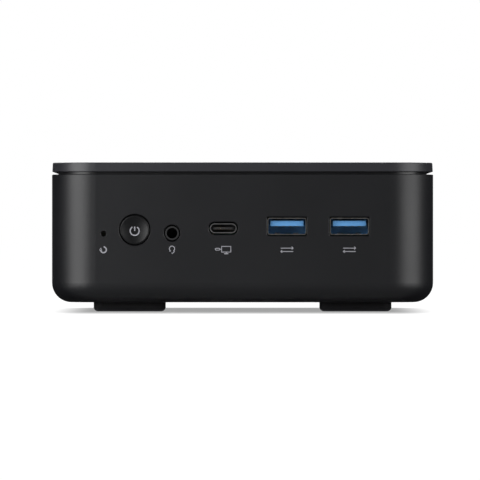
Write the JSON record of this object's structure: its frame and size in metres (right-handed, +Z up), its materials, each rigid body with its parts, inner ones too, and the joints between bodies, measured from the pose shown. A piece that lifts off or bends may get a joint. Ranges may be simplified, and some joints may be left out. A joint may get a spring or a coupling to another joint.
{
  "type": "mini pc",
  "caption": "Small square desktop computer: rounded shell with a radiused lower edge, flat lid on a recessed neck, round power button, audio and USB ports in front, rubber feet.",
  "frame": {"origin": "under the middle of the case, on the surface that the feet stand on", "axes": "+X right seen from the front, -Y out of the front face with the power button, +Z up"},
  "size_m": [0.1288, 0.127, 0.0502],
  "materials": {
    "case_plastic": "fine matt spark-eroded texture, dark grey",
    "lid_plastic": "fine matt texture, dark grey",
    "neck_plastic": "smooth matt, near black",
    "cover_plastic": "fine matt texture, near black",
    "panel_metal": "black painted sheet metal",
    "foot_rubber": "matt rubber",
    "black_screw": "black oxide",
    "steel": "plain steel",
    "nickel": "nickel plated sheet",
    "brass": "turned brass",
    "button_plastic": "matt, dark grey",
    "inner_plastic": "moulded black",
    "switch_plastic": "moulded black",
    "plunger_plastic": "natural moulded plastic",
    "jack_plastic": "moulded black",
    "tongue_blue": "blue moulded plastic",
    "tongue_black": "black moulded plastic",
    "board": "solder mask on glass epoxy",
    "chip": "moulded chip package",
    "copper": "bare copper",
    "aluminium": "plain sheet",
    "aerial": "flexible circuit",
    "lead_jacket": "coaxial lead",
    "cell_steel": "nickel plated steel"
  },
  "bodies": {
    "case": {"housing": "case_plastic", "neck_frame": "neck_plastic", "top_cover": "lid_plastic", "bottom_cover": "cover_plastic", "rear_panel": "panel_metal", "bottom_cover_screws": "black_screw", "neck_frame_screws": "steel", "rear_panel_screws": "black_screw", "mounting_inserts": "brass", "foot_front_left": "foot_rubber", "foot_front_right": "foot_rubber", "foot_rear_left": "foot_rubber", "foot_rear_right": "foot_rubber", "button_guide": "inner_plastic", "power_switch": "switch_plastic", "reset_switch": "switch_plastic", "audio_jack": "jack_plastic", "audio_jack_ring": "nickel", "usb_c_shell": "nickel", "usb_c_tongue": "tongue_black", "usb_a_left_shell": "nickel", "usb_a_left_tongue": "tongue_blue", "usb_a_right_shell": "nickel", "usb_a_right_tongue": "tongue_blue", "mainboard": "board", "board_screws": "steel", "processor": "chip", "memory_socket_lower": "inner_plastic", "memory_socket_upper": "inner_plastic", "memory_module_lower": "board", "memory_module_upper": "board", "drive_socket": "inner_plastic", "solid_state_drive": "board", "radio_socket": "inner_plastic", "radio_card": "board", "card_screws": "steel", "antenna_left": "aerial", "antenna_right": "aerial", "antenna_leads": "lead_jacket", "clock_cell_holder": "inner_plastic", "clock_cell": "cell_steel", "cold_plate": "copper", "heat_pipes": "copper", "fin_stack": "aluminium", "cooler_screws": "steel", "fan_housing": "inner_plastic", "fan_cover": "aluminium", "fan_bearing": "brass", "fan_screws": "steel", "power_inlet": "jack_plastic", "hdmi_port": "nickel", "display_port": "nickel", "network_jack": "nickel", "rear_usb_shell": "nickel", "rear_usb_tongues": "tongue_blue"},
    "power_button": {"power_button": "button_plastic"},
    "power_switch_plunger": {"power_switch_plunger": "plunger_plastic"},
    "reset_switch_plunger": {"reset_switch_plunger": "plunger_plastic"},
    "fan": {"fan_rotor": "inner_plastic", "fan_shaft": "steel"}
  },
  "joints": [
    {"name": "power_button_press", "type": "slide", "parent": "case", "child": "power_button", "axis": [0, 1, 0], "range_m": [0, 0.0005], "stiffness_N_per_m": 1500},
    {"name": "power_switch_press", "type": "slide", "parent": "case", "child": "power_switch_plunger", "axis": [0, 1, 0], "range_m": [0, 0.0005]},
    {"name": "reset_switch_press", "type": "slide", "parent": "case", "child": "reset_switch_plunger", "axis": [0, 1, 0], "range_m": [0, 0.0003], "stiffness_N_per_m": 1500},
    {"name": "fan_spin", "type": "hinge", "parent": "case", "child": "fan", "pos_m": [-0.014, 0.013, 0.0142], "axis": [0, 0, 1], "continuous": true}
  ],
  "couplings": [
    {"joint": "power_switch_press", "follows": "power_button_press", "ratio": 1}
  ]
}
